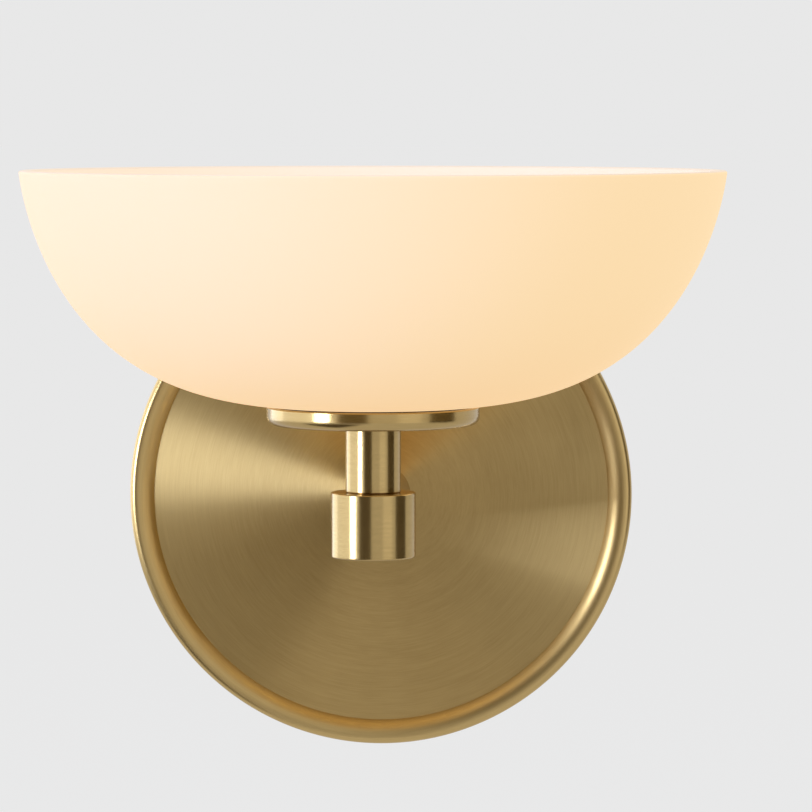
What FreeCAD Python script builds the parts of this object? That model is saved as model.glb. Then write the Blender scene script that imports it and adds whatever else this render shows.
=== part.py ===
import FreeCAD, Part
import math
import os

# Uplighter wall sconce. An opal glass bowl sits in a shallow brass cup on a short stem; a collar
# joins the stem to a straight arm that stands out of a round spun back plate.
# Millimetres. The origin is on the wall, on the arm's axis. +Z is up, the room is towards -Y.

# ---- driving sizes ----------------------------------------------------------------------------

# Layout
bowl_offset = 100.0           # wall to the axis of bowl, stem and collar
stem_height = 15.9            # collar top to the underside of the cup
joint_clearance = 0.05        # between pieces that screw or slip together
running_clearance = 0.10      # between pieces that slide on each other in service
lift_clearance = 0.6          # between the glass and what passes through its hole
soft_gap = 0.3                # between the glass and the metal beside it

# Glass bowl: radius = R * (1 - u**foot)**(1/side), u running down the full form
bowl_radius = 82.55
bowl_depth = 55.7
bowl_lean = 7.3               # the form's own top lies this far above the rim
bowl_side_power = 3.23
bowl_foot_power = 1.806
glass_wall = 3.0
lip_round = 0.6               # the rim is ground flat and its two edges are rounded
glass_profile_points = 14

# Cup under the bowl and the threaded sleeve that clamps the glass
cup_radius = 25.0
cup_wall = 1.2
cup_height = 4.6              # underside to the seat of the glass
cup_edge_radius = 4.0
sleeve_radius = 14.0
sleeve_wall = 1.5
sleeve_flange = 2.5           # how far the sleeve's foot spreads
sleeve_spare_thread = 1.5
gasket_inset = 0.5            # between the gasket and the cup or the sleeve's foot
washer_thickness = 1.5
washer_radius = 22.0
ring_radius = 21.0
ring_height = 6.0
ring_flutes = 36
flute_radius = 0.7

# Collar, stem and arm
collar_radius = 10.0
collar_height = 15.2
stem_radius = 6.5
arm_radius = 7.5
edge_chamfer = 0.3
pipe_radius = 5.0             # threaded lamp pipe
pipe_wall = 1.5
arm_pipe_grip = 4.4           # how far the arm's pipe screws into the collar
stem_pipe_grip = 5.0          # how far the stem's pipe screws into the collar
wireway_radius = 4.0
wireway_step = 0.4            # the upright wireway is this much narrower

# Back plate
plate_radius = 63.5
plate_depth = 18.0            # wall to the crown of the bead
plate_wall = 1.2
bead_width = 3.3
bead_slope = 3.2              # width of the slope inside the bead
field_recess = 2.7            # bead crown to the flat field
bead_outer_round = 1.7
bead_inner_round = 3.0

# Bracket on the wall
bracket_thickness = 2.0
bracket_width = 24.0
bracket_ear_height = 11.0
ear_gap = 0.5                 # between an ear and the boss beside it
slot_spacing = 83.0
slot_length = 18.5
slot_width = 4.6
wire_hole_radius = 8.0
ground_screw_place = 20.0
ground_head_radius = 4.0
ground_head_height = 2.6

# Side screws of the back plate
side_screw_radius = 2.0
side_screw_from_wall = 7.0
side_screw_sink = 0.3         # screw end below the plate's skin
socket_radius = 1.15
socket_depth = 2.0
boss_radius = 3.6
boss_length = 3.8

# Nuts, washers and the end of the arm's pipe
nut_flats = 14.0
nut_height = 3.4
lock_washer_radius = 8.5
lock_washer_thickness = 0.9
lock_washer_teeth = 10
tooth_gap = 1.2
terminal_thickness = 0.8
terminal_tab_width = 6.0
terminal_tab_end = 14.0
barrel_length = 7.0
barrel_wall = 0.75
pipe_spare_thread = 1.0
bushing_flange = 1.0
bushing_length = 5.0
bushing_wall = 0.85

# Leads and their caps
lead_radius = 0.9
lead_spacing = 2.6            # between the two leads inside the pipes
lead_from_bracket = 1.6       # middle of a lead in front of the bracket
lead_straight = 3.0           # lead beyond its crimp before it bends
cap_length = 18.0
cap_mouth_radius = 4.8
cap_tip_radius = 3.4
cap_mouth_bore = 2.5
cap_side = 24.0               # live and neutral caps, left and right of the middle
cap_from_wall = 7.0
cap_top = -27.0
ground_cap_top = -32.0

# Lampholder and lamp
holder_plate_radius = 11.5
holder_plate_thickness = 1.5
holder_radius = 9.4
holder_height = 14.5
holder_above_pipe = 6.0
holder_side_gap = 0.2
holder_arm_width = 8.0
holder_arm_top = 4.7          # holder top to the end of the bracket's arms
holder_screw_drop = 7.2       # holder top to the middle of its screws
holder_screw_radius = 1.5
holder_screw_length = 5.0
holder_head_radius = 2.4
holder_head_height = 1.2
recess_radius = 7.6
recess_depth = 4.0
pin_spacing = 9.0
pin_radius = 0.9
pin_length = 7.0
contact_wall = 0.7
contact_depth = 2.0           # ceramic left over each contact
contact_length = 8.0
lamp_base_radius = 7.2
lamp_base_height = 6.5
lamp_radius = 7.5
lamp_height = 26.0

# ---- places worked out from them --------------------------------------------------------------

V = FreeCAD.Vector
UP = V(0, 0, 1)

collar_top = collar_height / 2
cup_bottom = collar_top + stem_height
cup_floor = cup_bottom + cup_wall
seat_height = cup_bottom + cup_height
glass_top_of_floor = seat_height + glass_wall
washer_top = glass_top_of_floor + washer_thickness
ring_top = washer_top + ring_height
sleeve_top = ring_top + sleeve_spare_thread
sleeve_foot_radius = sleeve_radius + sleeve_flange
glass_hole_radius = sleeve_radius + lift_clearance

plate_field = plate_depth - field_recess
plate_inside = plate_field - plate_wall
side_wall_inside = plate_radius - plate_wall
boss_inner_end = side_wall_inside - boss_length
ear_face = boss_inner_end - ear_gap

thread_hole_radius = pipe_radius + joint_clearance
pipe_bore_radius = pipe_radius - pipe_wall
terminal_face = plate_inside - terminal_thickness
barrel_radius = lead_radius + joint_clearance + barrel_wall
ground_lead_from_wall = plate_inside - barrel_radius - joint_clearance
lock_washer_face = terminal_face - lock_washer_thickness
nut_face = lock_washer_face - nut_height
arm_pipe_rear = nut_face - pipe_spare_thread
arm_pipe_front = bowl_offset - collar_radius + arm_pipe_grip

holder_plate_top = cup_floor + holder_plate_thickness
stem_washer_top = holder_plate_top + lock_washer_thickness
stem_nut_top = stem_washer_top + nut_height
stem_pipe_top = stem_nut_top + pipe_spare_thread
stem_pipe_bottom = collar_top - stem_pipe_grip
holder_bottom = stem_pipe_top + holder_above_pipe
holder_top = holder_bottom + holder_height
recess_floor = holder_top - recess_depth
holder_screw_height = holder_top - holder_screw_drop
holder_arm_inside = holder_radius + holder_side_gap
contact_top = recess_floor - contact_depth
contact_bottom = contact_top - contact_length
contact_bore_radius = pin_radius + running_clearance
contact_radius = contact_bore_radius + contact_wall
lamp_shoulder = recess_floor + lamp_base_height


# ---- helpers ----------------------------------------------------------------------------------

def rounded_edges(corners, closed):
    """Lines through (point, radius) corners, each corner rounded by a tangent arc."""
    count = len(corners)
    starts = []
    ends = []
    arcs = []
    for index, (point, radius) in enumerate(corners):
        at_end = not closed and index in (0, count - 1)
        if at_end or radius == 0:
            starts.append(point)
            ends.append(point)
            arcs.append(None)
            continue
        to_last = corners[index - 1][0] - point
        to_next = corners[(index + 1) % count][0] - point
        room = 0.49 * min(to_last.Length, to_next.Length)
        half_turn = (math.pi - to_last.getAngle(to_next)) / 2
        reach = min(radius * math.tan(half_turn), room)
        to_last.normalize()
        to_next.normalize()
        start = point + to_last * reach
        end = point + to_next * reach
        middle_way = (to_last + to_next).normalize()
        bend = reach / math.tan(half_turn)
        depth = bend / math.cos(half_turn) - bend
        starts.append(start)
        ends.append(end)
        arcs.append(point + middle_way * depth)
    edges = []
    for index in range(count):
        if arcs[index] is not None:
            edges.append(Part.Arc(starts[index], arcs[index], ends[index]).toShape())
        following = (index + 1) % count
        if following == 0 and not closed:
            break
        if ends[index].distanceToPoint(starts[following]) > 1e-6:
            edges.append(Part.LineSegment(ends[index], starts[following]).toShape())
    return edges


def turned(corners):
    """Solid turned about +Z from (radius, height, corner radius) corners."""
    edges = rounded_edges([(V(r, 0, h), c) for r, h, c in corners], closed=True)
    return Part.Face(Part.Wire(edges)).revolve(V(), UP, 360)


def tube(outer, inner, bottom, top, chamfer=0.0):
    """Round tube about +Z, its outer edges broken by a chamfer."""
    return turned([
        (inner, bottom, 0), (outer - chamfer, bottom, 0), (outer, bottom + chamfer, 0),
        (outer, top - chamfer, 0), (outer - chamfer, top, 0), (inner, top, 0),
    ]) if chamfer else turned([
        (inner, bottom, 0), (outer, bottom, 0), (outer, top, 0), (inner, top, 0),
    ])


def rod(radius, start, end):
    """Round rod between two points."""
    along = end - start
    return Part.makeCylinder(radius, along.Length, start, along)


def block(x, y, z):
    """Box from three (low, high) pairs."""
    return Part.makeBox(x[1] - x[0], y[1] - y[0], z[1] - z[0], V(x[0], y[0], z[0]))


def out_of_wall(shape):
    """Turn a shape made about +Z to stand out of the wall: its +Z goes to -Y, its -Y down."""
    turned_shape = shape.copy()
    turned_shape.rotate(V(), V(1, 0, 0), 90)
    return turned_shape


def on_bowl_axis(shape):
    """Move a shape made about +Z to the axis of bowl, stem and collar."""
    moved = shape.copy()
    moved.translate(V(0, -bowl_offset, 0))
    return moved


def bowl_axis_point(x, y, z):
    """Point given from the axis of bowl, stem and collar."""
    return V(x, y - bowl_offset, z)


def both_sides(shape):
    """A shape and its mirror image across the middle plane, as two solids."""
    return Part.makeCompound([shape, shape.mirror(V(), V(1, 0, 0))])


def hexagon(flats, bottom, top):
    """Hexagonal prism about +Z, given across its flats."""
    corner = flats / 2 / math.cos(math.pi / 6)
    ring = [V(corner * math.cos(k * math.pi / 3), corner * math.sin(k * math.pi / 3), bottom)
            for k in range(7)]
    return Part.Face(Part.makePolygon(ring)).extrude(V(0, 0, top - bottom))


# ---- wall bracket -----------------------------------------------------------------------------

def slot_cutter(middle):
    """Round-ended slot along X, right through the bracket."""
    half_width = slot_width / 2
    reach = slot_length / 2 - half_width
    deep = 2 * bracket_thickness
    ends = [rod(half_width, V(middle + side * reach, deep, 0), V(middle + side * reach, -deep, 0))
            for side in (-1, 1)]
    straight = block((middle - reach, middle + reach), (-deep, deep), (-half_width, half_width))
    return straight.fuse(ends)


def mounting_bracket():
    """Steel strap on the wall, slotted for the box screws, its ends bent out as ears."""
    half = bracket_width / 2
    strap = block((-ear_face, ear_face), (-bracket_thickness, 0), (-half, half))
    ears = [block((min(inner, outer), max(inner, outer)), (-bracket_ear_height, 0), (-half, half))
            for inner, outer in ((ear_face - bracket_thickness, ear_face),
                                 (bracket_thickness - ear_face, -ear_face))]
    bracket = strap.fuse(ears).removeSplitter()
    deep = 2 * bracket_thickness
    cutters = [slot_cutter(-slot_spacing / 2), slot_cutter(slot_spacing / 2)]
    cutters.append(rod(wire_hole_radius, V(0, deep, 0), V(0, -deep, 0)))
    cutters.append(rod(side_screw_radius + joint_clearance,
                       V(ground_screw_place, deep, 0), V(ground_screw_place, -deep, 0)))
    return bracket.cut(cutters)


def ground_screw():
    """Pan-head earthing screw in the bracket."""
    head = turned([
        (0, bracket_thickness, 0), (ground_head_radius, bracket_thickness, 0),
        (ground_head_radius, bracket_thickness + ground_head_height, 1.2),
        (0, bracket_thickness + ground_head_height, 0),
    ])
    shank = rod(side_screw_radius, V(0, 0, joint_clearance), V(0, 0, bracket_thickness + 1))
    recess = block((-ground_head_radius, ground_head_radius), (-0.5, 0.5),
                   (bracket_thickness + ground_head_height - 1.0,
                    bracket_thickness + ground_head_height + 1.0))
    screw = out_of_wall(head.fuse(shank).cut(recess))
    screw.translate(V(ground_screw_place, 0, 0))
    return screw


# ---- back plate and what holds it -------------------------------------------------------------

def side_bore(radius):
    """Cutter along X for the side screw holes on both sides."""
    far = 2 * plate_radius
    return rod(radius, V(-far, -side_screw_from_wall, 0), V(far, -side_screw_from_wall, 0))


def back_plate():
    """Spun round plate: a flat sunk field inside a rounded bead, open towards the wall."""
    crown_inside = plate_radius - bead_width
    field_radius = crown_inside - bead_slope
    shell = turned([
        (plate_radius, 0, 0),
        (plate_radius, plate_depth, bead_outer_round),
        (crown_inside, plate_depth, bead_inner_round),
        (field_radius, plate_field, 0.4),
        (thread_hole_radius, plate_field, 0),
        (thread_hole_radius, plate_inside, 0),
        (field_radius + plate_wall / 2, plate_inside, 0.4),
        (crown_inside + plate_wall / 2, plate_depth - plate_wall, 1.0),
        (side_wall_inside, plate_depth - plate_wall, 0.5),
        (side_wall_inside, 0, 0),
    ])
    return out_of_wall(shell).cut(side_bore(side_screw_radius + joint_clearance))


def screw_bosses():
    """Threaded brass bosses brazed inside the plate's side wall for the side screws."""
    axis_y = -side_screw_from_wall
    blank = rod(boss_radius, V(boss_inner_end, axis_y, 0), V(plate_radius, axis_y, 0))
    wall = Part.makeCylinder(side_wall_inside - joint_clearance, 4 * plate_depth,
                             V(0, 2 * plate_depth, 0), V(0, -1, 0))
    return both_sides(blank.common(wall).cut(side_bore(side_screw_radius + joint_clearance)))


def side_screws():
    """Socket grub screws that press on the bracket's ears and hold the plate to the wall."""
    axis_y = -side_screw_from_wall
    outer_end = plate_radius - side_screw_sink
    screw = rod(side_screw_radius, V(ear_face + joint_clearance, axis_y, 0),
                V(outer_end, axis_y, 0))
    socket = hexagon(2 * socket_radius, 0, 2 * socket_depth)
    socket.rotate(V(), V(0, 1, 0), 90)
    socket.translate(V(outer_end - socket_depth, axis_y, 0))
    return both_sides(screw.cut(socket))


def lock_washer(bottom):
    """Toothed lock washer about +Z: gaps cut in from its bore leave the teeth."""
    top = bottom + lock_washer_thickness
    ring = tube(lock_washer_radius, thread_hole_radius, bottom, top)
    gap = block((0, (thread_hole_radius + lock_washer_radius) / 2),
                (-tooth_gap / 2, tooth_gap / 2), (bottom - 1, top + 1))
    gaps = []
    for tooth in range(lock_washer_teeth):
        turned_gap = gap.copy()
        turned_gap.rotate(V(), UP, 360 * tooth / lock_washer_teeth)
        gaps.append(turned_gap)
    return ring.cut(gaps)


def pipe_nut(bottom):
    """Thin hexagon nut about +Z, its corners turned off."""
    top = bottom + nut_height
    corner = nut_flats / 2 / math.cos(math.pi / 6)
    turned_off = (corner - nut_flats / 2) * 0.8
    blank = turned([
        (thread_hole_radius, bottom, 0), (corner - turned_off, bottom, 0),
        (corner, bottom + turned_off / 2, 0), (corner, top - turned_off / 2, 0),
        (corner - turned_off, top, 0), (thread_hole_radius, top, 0),
    ])
    return blank.common(hexagon(nut_flats, bottom, top))


def ground_terminal():
    """Ring tag under the nut, with a tab and a crimped barrel for the earth lead."""
    ring = tube(lock_washer_radius, thread_hole_radius, terminal_face, plate_inside)
    tab = block((-terminal_tab_width / 2, terminal_tab_width / 2),
                (-terminal_tab_end, -pipe_radius - 2), (terminal_face, plate_inside))
    middle = ground_lead_from_wall
    barrel = Part.makeCylinder(barrel_radius, barrel_length,
                               V(0, -terminal_tab_end, middle), V(0, -1, 0))
    bore = Part.makeCylinder(lead_radius + joint_clearance, 2 * barrel_length,
                             V(0, -terminal_tab_end + 1, middle), V(0, -1, 0))
    neck = block((-barrel_radius * 0.7, barrel_radius * 0.7),
                 (-terminal_tab_end - barrel_length / 2, -terminal_tab_end + 1),
                 (terminal_face, plate_inside))
    hole = Part.makeCylinder(thread_hole_radius, 10, V(0, 0, terminal_face - 5))
    return out_of_wall(ring.fuse([tab, neck, barrel]).cut([bore, hole]))


# ---- arm, collar and stem ---------------------------------------------------------------------

def arm_pipe():
    """Threaded lamp pipe from inside the back plate into the collar."""
    return out_of_wall(tube(pipe_radius, pipe_bore_radius, arm_pipe_rear, arm_pipe_front,
                            edge_chamfer))


def arm_sleeve():
    """Brass arm slipped over its pipe, its front end shaped to the round of the collar."""
    sleeve = out_of_wall(tube(arm_radius, thread_hole_radius, plate_field, bowl_offset))
    collar_room = tube_room(collar_radius + joint_clearance, -collar_height, collar_height)
    return sleeve.cut(collar_room)


def tube_room(radius, bottom, top):
    """Solid cylinder on the bowl's axis, for cutting."""
    return on_bowl_axis(Part.makeCylinder(radius, top - bottom, V(0, 0, bottom)))


def arm_nut():
    """Nut inside the back plate."""
    return out_of_wall(pipe_nut(nut_face))


def arm_lock_washer():
    """Lock washer under the nut inside the back plate."""
    return out_of_wall(lock_washer(lock_washer_face))


def pipe_bushing():
    """Plastic bushing that keeps the leads off the sharp end of the arm's pipe."""
    outer = pipe_bore_radius - joint_clearance
    bore = outer - bushing_wall
    return out_of_wall(turned([
        (bore, arm_pipe_rear - bushing_flange, 0.2),
        (pipe_radius - edge_chamfer, arm_pipe_rear - bushing_flange, 0.3),
        (pipe_radius - edge_chamfer, arm_pipe_rear, 0),
        (outer, arm_pipe_rear, 0),
        (outer, arm_pipe_rear + bushing_length, 0),
        (bore, arm_pipe_rear + bushing_length, 0),
    ]))


def collar():
    """Solid brass collar, bored from behind for the arm and from above for the stem."""
    body = on_bowl_axis(turned([
        (0, -collar_top, 0), (collar_radius, -collar_top, edge_chamfer),
        (collar_radius, collar_top, edge_chamfer), (0, collar_top, 0),
    ]))
    side_end = arm_pipe_front + soft_gap
    side_hole = rod(thread_hole_radius, V(0, -bowl_offset + 2 * collar_radius, 0),
                    V(0, -side_end, 0))
    side_way = rod(wireway_radius, V(0, -side_end + 1, 0), V(0, -bowl_offset - wireway_radius, 0))
    top_end = stem_pipe_bottom - soft_gap
    top_hole = tube_room(thread_hole_radius, top_end, 2 * collar_top)
    top_way = tube_room(wireway_radius - wireway_step, -wireway_radius, top_end + 1)
    return body.cut([side_hole, side_way, top_hole, top_way])


def stem_sleeve():
    """Brass tube between the collar and the cup."""
    return on_bowl_axis(tube(stem_radius, thread_hole_radius, collar_top, cup_bottom,
                             edge_chamfer))


def stem_pipe():
    """Threaded lamp pipe from the collar up into the cup."""
    return on_bowl_axis(tube(pipe_radius, pipe_bore_radius, stem_pipe_bottom, stem_pipe_top,
                             edge_chamfer))


# ---- cup, sleeve and clamping pieces ----------------------------------------------------------

def fitter_cup():
    """Shallow spun cup that carries the glass."""
    rim = seat_height - soft_gap
    inside = cup_radius - cup_wall
    return on_bowl_axis(turned([
        (thread_hole_radius, cup_bottom, 0),
        (cup_radius, cup_bottom, cup_edge_radius),
        (cup_radius, rim, 0.3),
        (inside, rim, 0.3),
        (inside, cup_floor, cup_edge_radius - cup_wall),
        (thread_hole_radius, cup_floor, 0),
    ]))


def fitter_sleeve():
    """Threaded sleeve with a flanged foot, brazed to the floor of the cup."""
    bore = sleeve_radius - sleeve_wall
    return on_bowl_axis(turned([
        (bore, cup_floor, 0), (sleeve_foot_radius, cup_floor, 0),
        (sleeve_foot_radius, cup_floor + cup_wall, 0.3),
        (sleeve_radius, cup_floor + cup_wall, 0),
        (sleeve_radius, sleeve_top, 0.4), (bore, sleeve_top, 0.4),
    ]))


def lower_gasket():
    """Rubber ring between the floor of the cup and the underside of the glass."""
    inner = sleeve_foot_radius + gasket_inset
    outer = cup_radius - cup_edge_radius - gasket_inset
    return on_bowl_axis(tube(outer, inner, cup_floor, seat_height))


def upper_washer():
    """Soft washer between the glass and the clamping ring."""
    return on_bowl_axis(tube(washer_radius, sleeve_radius + soft_gap,
                             glass_top_of_floor, washer_top))


def shade_ring():
    """Fluted ring nut that screws down the sleeve and clamps the glass."""
    ring = turned([
        (sleeve_radius + running_clearance, washer_top, 0),
        (ring_radius, washer_top, 0.6), (ring_radius, ring_top, 0.6),
        (sleeve_radius + running_clearance, ring_top, 0),
    ])
    flutes = []
    for flute in range(ring_flutes):
        angle = 2 * math.pi * flute / ring_flutes
        middle = V((ring_radius + flute_radius / 3) * math.cos(angle),
                   (ring_radius + flute_radius / 3) * math.sin(angle), washer_top - 1)
        flutes.append(Part.makeCylinder(flute_radius, ring_height + 2, middle))
    return on_bowl_axis(ring.cut(flutes))


# ---- glass bowl -------------------------------------------------------------------------------

def bowl_form(depth):
    """Share of the widest radius at a depth below the rim, before it is scaled to the rim."""
    down = (depth + bowl_lean) / (bowl_depth + bowl_lean)
    return (1 - down ** bowl_foot_power) ** (1 / bowl_side_power)


def bowl_radius_at(depth):
    """Outside radius of the bowl at a depth below its rim, widest just under the rim's edge."""
    return bowl_radius * bowl_form(depth) / bowl_form(lip_round)


def bowl_depth_at(radius):
    """Depth below the rim where the bowl has an outside radius: the formula turned round."""
    share = (radius / bowl_radius * bowl_form(lip_round)) ** bowl_side_power
    return (bowl_depth + bowl_lean) * (1 - share) ** (1 / bowl_foot_power) - bowl_lean


def bowl_frame(depth):
    """Point on the outside of the bowl, and the unit way down it, as (radius, depth) pairs."""
    step = 0.01
    radius = bowl_radius_at(depth)
    change = (bowl_radius_at(depth + step) - bowl_radius_at(depth - step)) / (2 * step)
    length = math.hypot(change, 1)
    return radius, (change / length, 1 / length)


rim_height = seat_height + bowl_depth_at(cup_radius)


def bowl_wall(start, end, inset):
    """Points down the bowl's wall between two depths, inset from its outside."""
    points = []
    for index in range(glass_profile_points):
        share = math.sin(math.pi / 2 * index / (glass_profile_points - 1))
        depth = start + (end - start) * share
        radius, (down_r, down_d) = bowl_frame(depth)
        points.append(V(radius - inset * down_d, 0, rim_height - depth - inset * down_r))
    return points


def lip_edge(wall_top, side):
    """Rounded edge from the top of a wall to the flat rim; side is -1 outside and 1 inside."""
    centre = wall_top + V(side * lip_round, 0, 0)
    middle = centre + V(-side, 0, 1).normalize() * lip_round
    end = centre + V(0, 0, lip_round)
    return Part.Arc(wall_top, middle, end).toShape(), end


def glass_shade():
    """Blown opal bowl with a flat ground rim and seat, and a hole for the sleeve."""
    seat_depth = bowl_depth_at(cup_radius)
    _, (down_r, _) = bowl_frame(lip_round)
    outside = bowl_wall(lip_round, seat_depth, 0)
    inside = bowl_wall(lip_round - glass_wall * down_r, seat_depth, glass_wall)
    inside[0].z = outside[0].z
    inside[-1].z = glass_top_of_floor
    outer_lip, outer_rim = lip_edge(outside[0], -1)
    inner_lip, inner_rim = lip_edge(inside[0], 1)
    seat_edge = V(glass_hole_radius, 0, seat_height)
    floor_edge = V(glass_hole_radius, 0, glass_top_of_floor)
    outer_curve = Part.BSplineCurve()
    outer_curve.interpolate(outside)
    inner_curve = Part.BSplineCurve()
    inner_curve.interpolate(inside)
    edges = [
        outer_curve.toShape(),
        Part.LineSegment(outside[-1], seat_edge).toShape(),
        Part.LineSegment(seat_edge, floor_edge).toShape(),
        Part.LineSegment(floor_edge, inside[-1]).toShape(),
        inner_curve.toShape(),
        inner_lip,
        Part.LineSegment(inner_rim, outer_rim).toShape(),
        outer_lip,
    ]
    profile = Part.Face(Part.Wire(Part.__sortEdges__(edges)))
    return on_bowl_axis(profile.revolve(V(), UP, 360))


# ---- lampholder and lamp ----------------------------------------------------------------------

def holder_bracket():
    """Steel plate under the nut of the stem, with two upright arms for the lampholder."""
    plate = tube(holder_plate_radius, thread_hole_radius, cup_floor, holder_plate_top)
    half = holder_arm_width / 2
    arm_top = holder_top - holder_arm_top
    outer = holder_arm_inside + holder_plate_thickness
    arms = [block((-half, half), (holder_arm_inside, outer), (cup_floor, arm_top)),
            block((-half, half), (-outer, -holder_arm_inside), (cup_floor, arm_top))]
    hole = rod(holder_screw_radius + joint_clearance,
               V(0, -2 * outer, holder_screw_height), V(0, 2 * outer, holder_screw_height))
    return on_bowl_axis(plate.fuse(arms).cut(hole))


def holder_screws():
    """Two slotted screws through the bracket's arms into the sides of the lampholder."""
    face = holder_arm_inside + holder_plate_thickness
    end = face - holder_screw_length
    height = holder_screw_height
    head_end = face + holder_head_height
    shank = rod(holder_screw_radius, V(0, end, height), V(0, face + 0.5, height))
    head = rod(holder_head_radius, V(0, face, height), V(0, head_end, height))
    slit = block((-0.3, 0.3), (head_end - 0.6, head_end + 1), (height - 4, height + 4))
    screw = shank.fuse(head).cut(slit)
    other = screw.mirror(V(), V(0, 1, 0))
    return on_bowl_axis(Part.makeCompound([screw, other]))


def lampholder():
    """Ceramic lampholder: a recess for the lamp's base over two chambers for the contacts."""
    body = turned([
        (0, holder_bottom, 0), (holder_radius, holder_bottom, 0.5),
        (holder_radius, holder_top, 0.8), (recess_radius, holder_top, 0.5),
        (recess_radius, recess_floor, 0), (0, recess_floor, 0),
    ])
    cutters = []
    for side in (-1, 1):
        x = side * pin_spacing / 2
        chamber = contact_radius + joint_clearance
        cutters.append(rod(chamber, V(x, 0, holder_bottom - 1), V(x, 0, contact_top)))
        cutters.append(rod(pin_radius + soft_gap, V(x, 0, contact_top - 1),
                           V(x, 0, recess_floor + 1)))
        deep = side * (holder_arm_inside + holder_plate_thickness - holder_screw_length - 0.5)
        cutters.append(rod(holder_screw_radius + joint_clearance,
                           V(0, side * 2 * holder_radius, holder_screw_height),
                           V(0, deep, holder_screw_height)))
    return on_bowl_axis(body.cut(cutters))


def lampholder_contacts():
    """Two sprung contact tubes in the lampholder, with the leads crimped in their feet."""
    contact = tube(contact_radius, contact_bore_radius, contact_bottom, contact_top)
    contact.translate(V(pin_spacing / 2, 0, 0))
    return on_bowl_axis(both_sides(contact))


def lamp_base():
    """Ceramic foot of the lamp."""
    return on_bowl_axis(turned([
        (0, recess_floor, 0), (lamp_base_radius, recess_floor, 0.5),
        (lamp_base_radius, lamp_shoulder, 0.8), (0, lamp_shoulder, 0),
    ]))


def lamp_bulb():
    """Frosted capsule of the lamp."""
    return on_bowl_axis(turned([
        (0, lamp_shoulder, 0), (lamp_radius, lamp_shoulder, 0.6),
        (lamp_radius, lamp_shoulder + lamp_height, lamp_radius * 0.95),
        (0, lamp_shoulder + lamp_height, 0),
    ]))


def lamp_pins():
    """The lamp's two contact pins."""
    x = pin_spacing / 2
    pin = rod(pin_radius, V(x, 0, recess_floor - pin_length), V(x, 0, recess_floor))
    return on_bowl_axis(both_sides(pin))


# ---- leads and their caps ---------------------------------------------------------------------

def lead(name, route):
    """Insulated lead along (point, bend radius) corners, as one tube on lines and arcs."""
    path = Part.Wire(rounded_edges(route, closed=False))
    start = route[0][0]
    section = Part.Wire(Part.makeCircle(lead_radius, start, route[1][0] - start))
    solid = path.makePipeShell([section], True, False)
    expected = math.pi * lead_radius ** 2 * path.Length
    bends = [round(edge.Curve.Radius, 1) for edge in path.Edges
             if isinstance(edge.Curve, Part.Circle)]
    print(name, "length", round(path.Length, 1), "bends", bends,
          "volume share", round(solid.Volume / expected, 4))
    return solid


def power_lead(name, side):
    """Lead from its cap, over the bracket, through arm, collar and stem to a contact."""
    x = side * lead_spacing / 2
    rear = -(bracket_thickness + lead_from_bracket)
    cap_end = cap_top - cap_length * 0.75
    contact_x = side * pin_spacing / 2
    return lead(name, [
        (V(side * cap_side, -cap_from_wall, cap_end), 0),
        (V(side * cap_side, -cap_from_wall, cap_top + 5), 8),
        (V(side * cap_side / 2, rear, -9), 8),
        (V(x, rear, 0), 3.2),
        (bowl_axis_point(x, 0, 0), 3.0),
        (bowl_axis_point(x, 0, stem_pipe_top + 0.4), 4.5),
        (bowl_axis_point(contact_x, 0, holder_bottom - 2.0), 3.2),
        (bowl_axis_point(contact_x, 0, contact_bottom + 2.0), 0),
    ])


def ground_lead():
    """Earth lead from the ring tag to its cap."""
    tag_y = -ground_lead_from_wall
    return lead("ground_lead", [
        (V(0, tag_y, -terminal_tab_end - 1), 0),
        (V(0, tag_y, -terminal_tab_end - barrel_length - lead_straight), 6),
        (V(0, -cap_from_wall, ground_cap_top + 3), 6),
        (V(0, -cap_from_wall, ground_cap_top - cap_length * 0.75), 0),
    ])


def wire_cap(x, top):
    """Twist-on cap, mouth up, over the end of a lead."""
    bore = lead_radius + joint_clearance
    cap = turned([
        (0, top - cap_length, 0), (cap_tip_radius, top - cap_length, 1.5),
        (cap_mouth_radius, top, 0.5), (cap_mouth_bore, top, 0.3),
        (cap_mouth_bore, top - 0.4 * cap_length, 0),
        (bore, top - 0.5 * cap_length, 0),
        (bore, top - 0.78 * cap_length, 0), (0, top - 0.78 * cap_length, 0),
    ])
    cap.translate(V(x, -cap_from_wall, 0))
    return cap


# ---- all the pieces ---------------------------------------------------------------------------

pieces = {
    "mounting_bracket": mounting_bracket(),
    "ground_screw": ground_screw(),
    "back_plate": back_plate(),
    "screw_bosses": screw_bosses(),
    "side_screws": side_screws(),
    "ground_terminal": ground_terminal(),
    "arm_lock_washer": arm_lock_washer(),
    "arm_nut": arm_nut(),
    "arm_pipe": arm_pipe(),
    "pipe_bushing": pipe_bushing(),
    "arm_sleeve": arm_sleeve(),
    "collar": collar(),
    "stem_pipe": stem_pipe(),
    "stem_sleeve": stem_sleeve(),
    "fitter_cup": fitter_cup(),
    "fitter_sleeve": fitter_sleeve(),
    "lower_gasket": lower_gasket(),
    "holder_bracket": holder_bracket(),
    "stem_lock_washer": on_bowl_axis(lock_washer(holder_plate_top)),
    "stem_nut": on_bowl_axis(pipe_nut(stem_washer_top)),
    "holder_screws": holder_screws(),
    "lampholder": lampholder(),
    "lampholder_contacts": lampholder_contacts(),
    "live_lead": power_lead("live_lead", -1),
    "neutral_lead": power_lead("neutral_lead", 1),
    "ground_lead": ground_lead(),
    "live_cap": wire_cap(-cap_side, cap_top),
    "neutral_cap": wire_cap(cap_side, cap_top),
    "ground_cap": wire_cap(0, ground_cap_top),
    "glass_shade": glass_shade(),
    "upper_washer": upper_washer(),
    "shade_ring": shade_ring(),
    "lamp_base": lamp_base(),
    "lamp_bulb": lamp_bulb(),
    "lamp_pins": lamp_pins(),
}

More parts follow.
